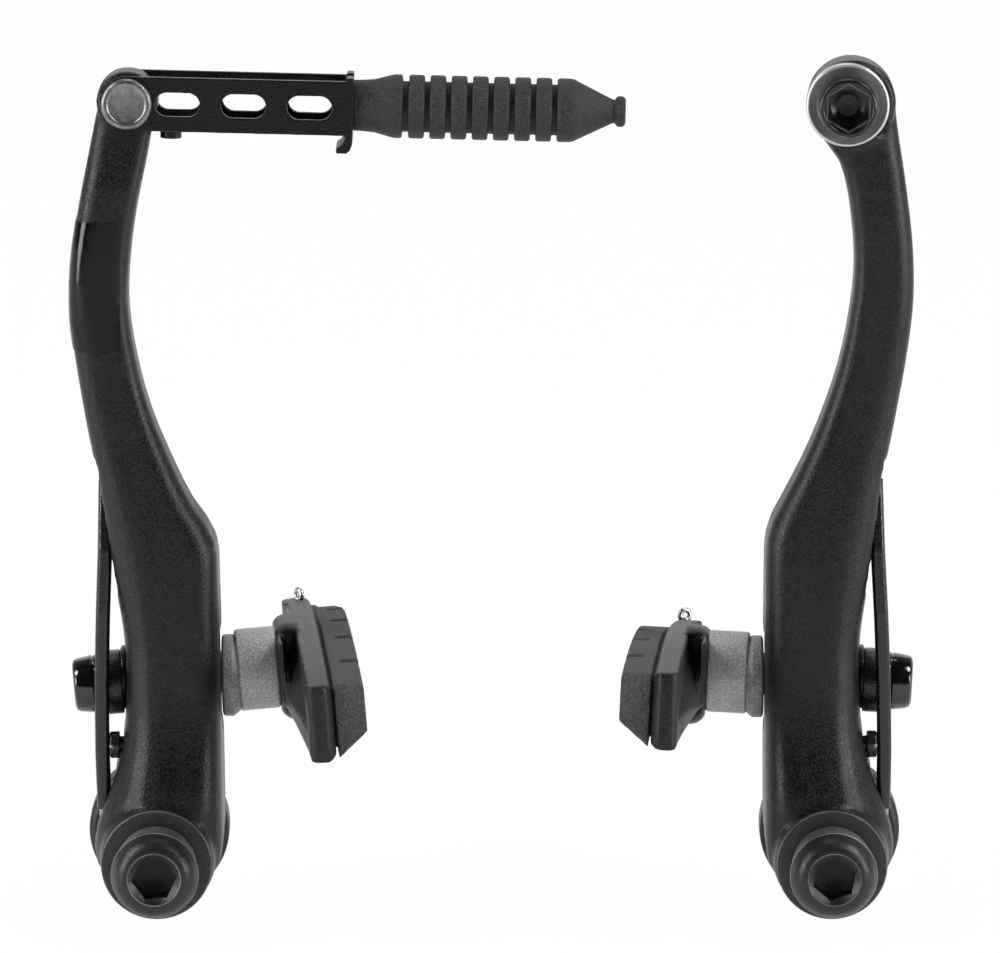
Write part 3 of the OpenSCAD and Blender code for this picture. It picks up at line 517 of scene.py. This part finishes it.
def fixingBolt(side):
    b = boltLook
    seat, r, shank, end, sink = b["seat"], b["headRadius"], b["shank"], b["length"], b["sinkRadius"]
    front = seat - b["headHeight"]
    bolt = turned(along([(2.3, 0.95), (sink - 0.1, 0.12), (sink + 0.05, 0)] + b["dome"], front)
                  + along([(r, -0.3), (r - 0.2, 0), (shank, 0), (shank, end - 0.6), (shank - 0.6, end)],
                          seat))
    cutWith(bolt, hexCutter(b["hex"], front - 1, seat - 0.5, b["turn"][side]))
    cutWith(bolt, turned(along([(2.0, -1.2), (2.0, -0.45), (0.3, -0.15)], seat), sides=48))
    softened(bolt, b["bevel"], angle=24)
    placed(bolt, onSide(side) @ alongY)
    return bolt


def pivotBush(side):
    b = bushLook
    bore, r, collar = b["bore"], b["radius"], b["collar"]
    bush = turned(along([(bore, 0), (r - 0.15, 0), (r, 0.15)], b["front"])
                  + along([(r, 0), (collar - 0.1, 0.1), (collar, 0.3)], b["collarFront"])
                  + along([(collar, -0.1), (collar - 0.1, 0), (r, 0)], b["collarRear"])
                  + along([(r, -0.3), (r - 0.3, 0), (bore, 0)], b["rear"]), closed=True)
    softened(bush, b["bevel"])
    placed(bush, onSide(side) @ alongY)
    return bush


def flatRing(side):
    g = ringLook
    bore, r, c = g["bore"], g["radius"], g["chamfer"]
    ring = turned(along([(bore, 0), (r - c, 0), (r, c)], g["front"])
                  + along([(r, 0), (bore, 0)], g["rear"]), closed=True)
    softened(ring, g["bevel"])
    placed(ring, onArm(side) @ alongY)
    return ring


def springCoil(side):
    coil = mergedCopy(side + "_return_spring")
    applied(coil, "SUBSURF", levels=coilLook["levels"], render_levels=coilLook["levels"])
    only(coil)
    bpy.ops.object.shade_smooth()
    return coil


for side in ("left", "right"):
    arm = side + "_arm"
    dressed(fixingBolt(side), side + "FixingBolt", "pivotBolt", "pivots",
            [side + "_mount_bolt"])
    dressed(pivotBush(side), side + "PivotBush", "bushSteel", "pivots",
            [side + "_pivot_bush"])
    dressed(flatRing(side), side + "FlatRing", "flatRing", arm, [side + "_dust_ring"])
    dressed(springCoil(side), side + "SpringCoil", "springSteel", arm,
            [side + "_return_spring"])
    dressed(cast(side + "_spring_sleeve", sleeveLook), side + "SpringSleeve", "sleevePlastic",
            arm, [side + "_spring_sleeve"])
    dressed(cast(side + "_spring_housing", housingLook), side + "SpringHousing", "housingPlastic",
            "pivots", [side + "_spring_housing"])
    dressed(cast(side + "_stop_plate", plateLook), side + "StopPlate", "plateSteel",
            "pivots", [side + "_stop_plate"])
    dressed(cast(side + "_tension_screw", screwLook), side + "TensionScrew", "blackBolt",
            arm, [side + "_tension_screw"])
print("pivots done")


# shoes: holder, rubber, pin, stud, two pairs of spherical washers, nut

holderLook = {"voxel": 0.26, "rounds": 20}
rubberLook = {"voxel": 0.2, "rounds": 2}
pinLook = {"voxel": 0.1, "rounds": 2}
studLook = {"radius": 3.0, "inner": -17.5, "outer": 11.2, "chamfer": 0.5, "bevel": 0.1}
innerDomeLook = {"bore": 4.1, "radius": 5.8, "face": -6.75, "rim": -8.3, "shoulder": (5.1, -9.12),
                 "chamfer": 0.3, "seat": 10.5, "seatEdge": 4.95, "bevel": 0.08}
innerCupLook = {"bore": 3.06, "radius": 5.8, "face": -14.6, "rim": -8.8, "chamfer": 0.3,
                "seat": 10.55, "seatEdge": 5.4, "bevel": 0.1}
outerDomeLook = {"bore": 3.75, "radius": 4.55, "face": 6.7, "chamfer": 0.25, "seat": 8.7, "bevel": 0.06}
outerCupLook = {"bore": 3.06, "radius": 4.55, "face": 10.0, "rim": 7.65, "shoulder": (4.4, 7.52),
                "chamfer": 0.25, "seat": 8.75, "seatEdge": 4.3, "bevel": 0.06}
nutLook = {"bore": 3.06, "radius": 4.1, "start": 10.0, "length": 4.4, "hex": 5.0, "hexStart": 1.25,
           "bevel": 0.08}


def seatArc(radius, r0, r1, steps, sign):
    # points on the spherical seat between two distances from the stud's axis
    rs = [r0 + (r1 - r0) * i / steps for i in range(steps + 1)]
    return [(r, sign * sqrt(radius ** 2 - r ** 2)) for r in rs]


def turnedAlongStud(profile, place, bevel, closed=True):
    obj = turned(profile, closed=closed)
    softened(obj, bevel)
    placed(obj, place @ alongX)
    return obj


def shoeStud(side):
    s = studLook
    r, c = s["radius"], s["chamfer"]
    profile = along([(0.8, 0), (r, 0)], s["inner"]) + along([(r, -c), (r - c, 0), (0.8, 0)], s["outer"])
    return turnedAlongStud(profile, onShoe(side), s["bevel"], closed=False)


def innerDomeWasher(side):
    w = innerDomeLook
    r, c = w["radius"], w["chamfer"]
    profile = (along([(w["bore"], 0), (r - c, 0), (r, -c)], w["face"]) + [(r, w["rim"]), w["shoulder"]]
               + seatArc(w["seat"], w["seatEdge"], w["bore"], 4, -1))
    return turnedAlongStud(profile, onStud(side), w["bevel"])


def innerCupWasher(side):
    w = innerCupLook
    r, c = w["radius"], w["chamfer"]
    profile = (along([(w["bore"], 0), (r - c, 0), (r, c)], w["face"])
               + along([(r, -c), (r - c, 0)], w["rim"])
               + seatArc(w["seat"], w["seatEdge"], w["bore"], 6, -1))
    return turnedAlongStud(profile, onShoe(side), w["bevel"])


def outerDomeWasher(side):
    w = outerDomeLook
    r, c = w["radius"], w["chamfer"]
    profile = (along([(w["bore"], 0), (r - c, 0), (r, c)], w["face"])
               + seatArc(w["seat"], r, w["bore"], 5, 1))
    return turnedAlongStud(profile, onStud(side), w["bevel"])


def outerCupWasher(side):
    w = outerCupLook
    r, c = w["radius"], w["chamfer"]
    profile = (along([(w["bore"], 0), (r - c, 0), (r, -c)], w["face"]) + [(r, w["rim"]), w["shoulder"]]
               + seatArc(w["seat"], w["seatEdge"], w["bore"], 5, 1))
    return turnedAlongStud(profile, onShoe(side), w["bevel"])


def shoeNut(side):
    n = nutLook
    x, r, t, bore = n["start"], n["radius"], n["length"], n["bore"]
    nut = turned(along([(bore, 0.02), (r - 0.25, 0.02), (r, 0.35), (r, 1.1), (r - 0.12, 1.3),
                        (r - 0.12, 1.55), (r - 0.02, 1.75), (r - 0.32, t - 0.75), (r - 0.55, t - 0.25),
                        (r - 1.0, t), (3.05, t), (2.9, t - 0.25), (2.6, t - 0.6), (2.6, 1.4),
                        (bore, 1.3)], x), closed=True)
    cutWith(nut, hexCutter(n["hex"], x + n["hexStart"], x + 6))
    softened(nut, n["bevel"])
    placed(nut, onShoe(side) @ alongX)
    return nut


for side in ("left", "right"):
    shoe, seat = side + "_shoe", side + "_shoe_seat"
    dressed(cast(side + "_pad_holder", holderLook), side + "ShoeHolder", "holderPaint",
            shoe, [side + "_pad_holder"])
    dressed(cast(side + "_pad_insert", rubberLook), side + "PadRubber", "padRubber",
            shoe, [side + "_pad_insert"])
    dressed(cast(side + "_pad_pin", pinLook), side + "SplitPin", "pinSteel",
            shoe, [side + "_pad_pin"])
    dressed(shoeStud(side), side + "ShoeStud", "plateSteel", shoe, [side + "_pad_stud"])
    dressed(innerDomeWasher(side), side + "InnerDomeWasher", "domeGrey", seat,
            [side + "_inner_dome_washer"])
    dressed(innerCupWasher(side), side + "InnerCupWasher", "cupGrey", shoe,
            [side + "_inner_cup_washer"])
    dressed(outerDomeWasher(side), side + "OuterDomeWasher", "blackBolt", seat,
            [side + "_outer_dome_washer"])
    dressed(outerCupWasher(side), side + "OuterCupWasher", "blackBolt", shoe,
            [side + "_outer_cup_washer"])
    dressed(shoeNut(side), side + "ShoeNut", "blackNut", shoe, [side + "_shoe_nut"])
print("shoes done")


# cable link, boot and the two heads

linkLook = {"length": 31.5, "sheet": 1.0, "outer": 4.3, "voxel": 0.13, "rounds": 2}
pegLook = {"voxel": 0.1, "rounds": 3}
bootLook = {"rings": 7, "pitch": 2.96, "toRings": 7.7, "core": 3.55, "ring": 4.45, "neck": 2.95,
            "bore": 2.5, "bellows": 2.9, "tip": 0.9, "bevel": 0.14}
rivetLook = {"shank": 2.0, "head": 3.55, "tail": 3.1, "start": 0.4, "bevel": 0.07}
anchorWasherLook = {"seat": -5.0, "bore": 3.05, "radius": 5.8, "thick": 1.0, "bevel": 0.05}
cableBoltLook = {"seat": -6.0, "headRadius": 4.1, "headHeight": 3.6, "shank": 2.55, "end": 1.6, "hex": 5.7,
                 "bevel": 0.08}


def rubberBoot():
    b, sheet, start = bootLook, linkLook["sheet"], linkLook["length"]
    core, ring, neck, inner, tip = b["core"], b["ring"], b["neck"], b["bellows"], b["tip"]
    foot = [(neck + 0.25, -sheet - 1), (neck + 0.25, -sheet - 0.02), (neck, -sheet - 0.02), (neck, 0.05),
            (core, 0.05), (core + 0.06, 1.6), (core + 0.18, 3.0), (core + 0.45, 4.0), (ring - 0.12, 5.2),
            (ring, 5.8), (ring, 6.6), (ring - 0.12, 6.8), (core, 6.9)]
    oneRing = [(core, 0), (ring - 0.2, 0.02), (ring, 0.25), (ring, 1.95), (ring - 0.2, 2.2), (core, 2.25)]
    nose = [(core, 0), (ring - 0.2, 0.02), (ring, 0.3), (ring, 1.7), (ring - 0.12, 2.4), (ring - 0.4, 2.9),
            (1.75, 7.6), (1.65, 7.9), (1.68, 8.1), (2.0, 8.3), (2.15, 8.6), (2.15, 9.15), (1.95, 9.45),
            (1.6, 9.58), (tip + 0.05, 9.6), (tip, 9.5), (tip, 5.5), (inner, 1.5)]
    inside = [(inner, 4.6), (b["bore"], 4), (b["bore"], -sheet - 1)]
    ringAt = [start + b["toRings"] + k * b["pitch"] for k in range(b["rings"] + 1)]
    profile = along(foot, start)
    for x in ringAt[:-1]:
        profile += along(oneRing, x)
    profile += along(nose, ringAt[-1]) + along(inside, start)
    boot = turned(profile, closed=True, sides=112)
    softened(boot, b["bevel"], angle=26)
    placed(boot, onLink() @ alongX)
    return boot


def linkRivet():
    v = rivetLook
    head, shank, tail = v["head"], v["shank"], v["tail"]
    front = [(v["start"], -1.05), (1.6, -1.1), (2.55, -1.12), (2.75, -1.3), (3.1, -1.32),
             (head - 0.15, -1.15), (head, -0.85), (head, 0), (shank, 0)]
    rear = [(shank, 0), (tail, 0), (tail + 0.05, 0.6), (tail - 0.5, 1.0), (v["start"], 1.0)]
    rivet = turned(along(front, -linkLook["outer"]) + along(rear, linkLook["outer"]))
    softened(rivet, v["bevel"], angle=20)
    placed(rivet, onLink() @ alongY)
    return rivet


def anchorWasher():
    w = anchorWasherLook
    bore, r, t = w["bore"], w["radius"], w["thick"]
    washer = turned(along([(bore, 0), (r, 0), (r, -t - 0.35), (r - 0.1, -t - 0.52), (r - 0.22, -t - 0.6),
                           (r - 0.38, -t - 0.6), (r - 0.52, -t - 0.5), (4.3, -t), (bore, -t)], w["seat"]),
                    closed=True)
    softened(washer, w["bevel"], angle=20)
    placed(washer, onAnchor("right") @ alongY)
    return washer


def anchorBolt():
    b = cableBoltLook
    seat, r, h, shank = b["seat"], b["headRadius"], b["headHeight"], b["shank"]
    bolt = turned(along([(0.4, 0.1 - h), (3.4, 0.1 - h), (3.5, -h), (3.7, -h), (r - 0.15, 0.15 - h),
                         (r, 0.45 - h), (r, 0), (shank, 0)], seat) + [(shank, b["end"]), (0.4, b["end"])])
    cutWith(bolt, hexCutter(b["hex"], seat - 5, seat - 1.0))
    cutWith(bolt, turned(along([(2.4, -1.01), (1.5, -0.4), (1.4, -0.4), (0.3, -0.3)], seat), sides=48))
    softened(bolt, b["bevel"], angle=24)
    placed(bolt, onAnchor("right") @ alongY)
    return bolt


filmLook = {"low": 71.7, "high": 89.8, "innerEdge": -52.3, "rear": 6.0, "thick": 0.14, "cornerRadius": 1.6,
            "cornerCuts": (22.5, 45, 67.5), "smoothAngle": 40}


def keptSide(obj, at, outward):
    # cuts the mesh with a plane and keeps what lies behind it
    editAll(obj)
    bpy.ops.mesh.bisect(plane_co=Vector(at) * mm, plane_no=outward, clear_outer=True)
    bpy.ops.object.mode_set(mode="OBJECT")


def armFilm(arm):
    # a patch of the arm's skin, lifted off it; the upper inner corner is rounded with a few cuts
    f = filmLook
    sheet = copyOf(arm, "armFilm")
    keptSide(sheet, (0, 0, f["low"]), (0, 0, -1))
    keptSide(sheet, (0, 0, f["high"]), (0, 0, 1))
    keptSide(sheet, (0, f["rear"], 0), (0, 1, 0))
    keptSide(sheet, (f["innerEdge"], 0, 0), (1, 0, 0))
    centre = Vector((f["innerEdge"] - f["cornerRadius"], 0, f["high"] - f["cornerRadius"]))
    for turn in f["cornerCuts"]:
        out = Vector((cos(radians(turn)), 0, sin(radians(turn))))
        keptSide(sheet, centre + out * f["cornerRadius"], out)
    applied(sheet, "SOLIDIFY", thickness=f["thick"] * mm, offset=1.0)
    only(sheet)
    bpy.ops.object.shade_smooth_by_angle(angle=radians(f["smoothAngle"]))
    return sheet


dressed(rubberBoot(), "rubberBoot", "bootRubber", "link", ["rubber_boot"])
dressed(cast("cable_link", linkLook), "foldedLink", "linkBlack", "link", ["cable_link"])
dressed(cast("link_peg", pegLook), "linkPeg", "linkBlack", "link", ["link_peg"])
dressed(linkRivet(), "linkRivet", "rivetSteel", "link", ["link_rivet"])
dressed(anchorWasher(), "cableWasher", "washerSteel", "right_arm", ["cable_washer"])
dressed(anchorBolt(), "cableBolt", "cableScrew", "right_arm", ["cable_bolt"])
dressed(armFilm(bpy.data.objects["leftForgedArm"]), "armFilm", "glossyFilm", "left_arm", [])
print("link, boot and heads done")


# floor, backdrop and lamps

studio = {
    # the floor, in metres, and its tone
    "floor": -0.0107, "floorSize": 6.0, "floorTone": 0.82,
    # the world: light on matt surfaces, and what gloss mirrors from the front to the back and from above
    "diffuseLight": 0.30, "frontMirrored": 0.02, "backMirrored": 0.38, "backSlope": 0.9, "backMiddle": 0.45,
    "topDarker": 0.6,
    # the floor's glow: to the eye, in gloss at the sides and the back, and where that begins
    "seenGlow": 0.97, "sideGlow": 0.85, "frontCut": 0.8, "sideSlope": 5.0,
    # lamps: name, place and size in metres, power in watts
    "aim": (0, 0, 0.05),
    "lamps": [("keyLeft", (-0.74, -0.20, 0.70), 0.34, 4.0), ("keyRight", (0.68, -0.20, 0.76), 0.34, 4.6),
              ("lowLeft", (-0.80, -0.34, 0.20), 0.40, 3.2), ("lowRight", (0.80, -0.34, 0.20), 0.40, 3.2),
              ("top", (0.0, 0.25, 0.95), 0.45, 1.2), ("back", (0.0, 0.9, 0.5), 0.9, 1.2)],
}


def softWorld(s):
    # white behind the object and to the eye, darker towards the front, as a studio's white sweep is
    world = bpy.data.worlds.new("studioWorld")
    bpy.context.scene.world = world
    world.use_nodes = True
    tree = world.node_tree
    tree.nodes.clear()
    path = tree.nodes.new("ShaderNodeLightPath")
    coord = tree.nodes.new("ShaderNodeTexCoord")
    split = tree.nodes.new("ShaderNodeSeparateXYZ")
    tree.links.new(coord.outputs["Generated"], split.inputs[0])
    backness = (Shade(tree, split.outputs["Y"]) * s["backSlope"] + s["backMiddle"]
                - Shade(tree, split.outputs["Z"]) * s["topDarker"]).clamped()
    mirrored = backness * (s["backMirrored"] - s["frontMirrored"]) + s["frontMirrored"]
    glossy = Shade(tree, path.outputs["Is Glossy Ray"])
    through = Shade(tree, path.outputs["Is Transmission Ray"])
    seen = (Shade(tree, path.outputs["Is Camera Ray"]) + through).clamped()
    level = seen + (1 - seen) * (glossy * mirrored + (1 - glossy) * s["diffuseLight"])
    bg = tree.nodes.new("ShaderNodeBackground")
    bg.inputs["Color"].default_value = (1, 1, 1, 1)
    tree.links.new(level.out, bg.inputs["Strength"])
    out = tree.nodes.new("ShaderNodeOutputWorld")
    tree.links.new(bg.outputs[0], out.inputs[0])


def paleFloor(s):
    # pale to the eye; mirrored as pale at the sides and the back, and dark in front
    bpy.ops.object.select_all(action="DESELECT")
    bpy.ops.mesh.primitive_plane_add(size=s["floorSize"], location=(0, 0, s["floor"]))
    floor = bpy.context.object
    floor.name = "paleFloor"
    mat = bpy.data.materials.new("paleFloor")
    mat.use_nodes = True
    tree = mat.node_tree
    tree.nodes.clear()
    path = tree.nodes.new("ShaderNodeLightPath")
    diffuse = tree.nodes.new("ShaderNodeBsdfDiffuse")
    diffuse.inputs["Color"].default_value = (*[s["floorTone"]] * 3, 1)
    glow = tree.nodes.new("ShaderNodeEmission")
    glow.inputs["Strength"].default_value = 1.0
    mix = tree.nodes.new("ShaderNodeMixShader")
    coord = tree.nodes.new("ShaderNodeTexCoord")
    split = tree.nodes.new("ShaderNodeSeparateXYZ")
    tree.links.new(coord.outputs["Object"], split.inputs[0])
    fromMiddle = Shade(tree, split.outputs["X"]).size() * s["frontCut"] + Shade(tree, split.outputs["Y"])
    side = (fromMiddle * s["sideSlope"]).clamped()
    share = (Shade(tree, path.outputs["Is Camera Ray"]) * s["seenGlow"]
             + Shade(tree, path.outputs["Is Glossy Ray"]) * side * s["sideGlow"])
    tree.links.new(share.out, mix.inputs[0])
    tree.links.new(diffuse.outputs[0], mix.inputs[1])
    tree.links.new(glow.outputs[0], mix.inputs[2])
    out = tree.nodes.new("ShaderNodeOutputMaterial")
    tree.links.new(mix.outputs[0], out.inputs[0])
    floor.data.materials.append(mat)


def softLamps(s):
    aim = Vector(s["aim"])
    for name, at, size, power in s["lamps"]:
        at = Vector(at)
        turn = (aim - at).to_track_quat("-Z", "Y").to_euler()
        bpy.ops.object.light_add(type="AREA", location=at, rotation=turn)
        lamp = bpy.context.object
        lamp.name = name
        lamp.data.shape = "DISK"
        lamp.data.size = size
        lamp.data.energy = power


softWorld(studio)
paleFloor(studio)
softLamps(studio)
bpy.context.scene.view_settings.view_transform = "Standard"
